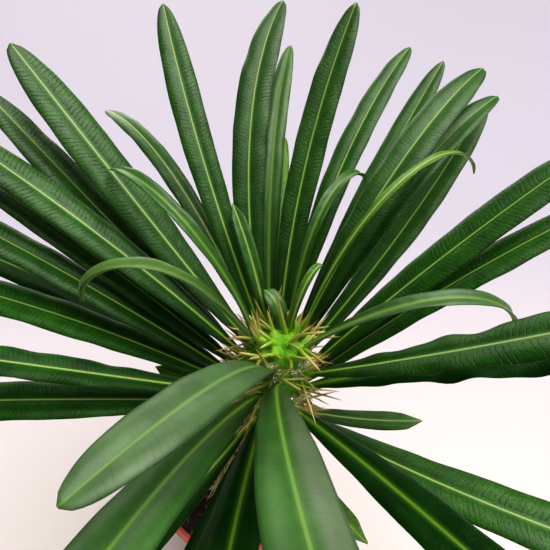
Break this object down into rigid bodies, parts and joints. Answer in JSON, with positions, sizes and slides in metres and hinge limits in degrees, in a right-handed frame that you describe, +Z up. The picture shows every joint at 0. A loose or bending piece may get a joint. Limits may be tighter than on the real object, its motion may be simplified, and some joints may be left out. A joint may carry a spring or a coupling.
{
  "type": "potted madagascar palm",
  "caption": "Potted succulent: a slender spiny stem with a crown of long dark green strap leaves, standing in soil in a round tapered plastic pot.",
  "frame": {"origin": "centre of the pot's underside, on the surface that it stands on", "axes": "+Z up along the pot's axis, +X the side to which the stem's tip leans, +Y away from the viewer of the front"},
  "size_m": [0.4071, 0.4187, 0.5117],
  "materials": {
    "pot": "satin terracotta-coloured plastic",
    "soil": "rough dark potting soil",
    "stem": "green skin with dry tan spines",
    "leaf": "satin leaf skin"
  },
  "bodies": {
    "root": {"pot": "pot", "soil": "soil", "stem": "stem", "leaf_01": "leaf", "leaf_02": "leaf", "leaf_03": "leaf", "leaf_04": "leaf", "leaf_05": "leaf", "leaf_06": "leaf", "leaf_07": "leaf", "leaf_08": "leaf", "leaf_09": "leaf", "leaf_10": "leaf", "leaf_11": "leaf", "leaf_12": "leaf", "leaf_13": "leaf", "leaf_14": "leaf", "leaf_15": "leaf", "leaf_16": "leaf", "leaf_17": "leaf", "leaf_18": "leaf", "leaf_19": "leaf", "leaf_20": "leaf", "leaf_21": "leaf", "leaf_22": "leaf", "leaf_23": "leaf", "leaf_24": "leaf", "leaf_25": "leaf", "leaf_26": "leaf", "leaf_27": "leaf", "leaf_28": "leaf", "leaf_29": "leaf", "leaf_30": "leaf", "leaf_31": "leaf", "leaf_32": "leaf", "leaf_33": "leaf", "leaf_34": "leaf", "leaf_35": "leaf", "leaf_36": "leaf", "leaf_37": "leaf", "leaf_38": "leaf", "leaf_39": "leaf", "leaf_40": "leaf", "leaf_41": "leaf", "leaf_42": "leaf", "leaf_43": "leaf"}
  },
  "joints": []
}
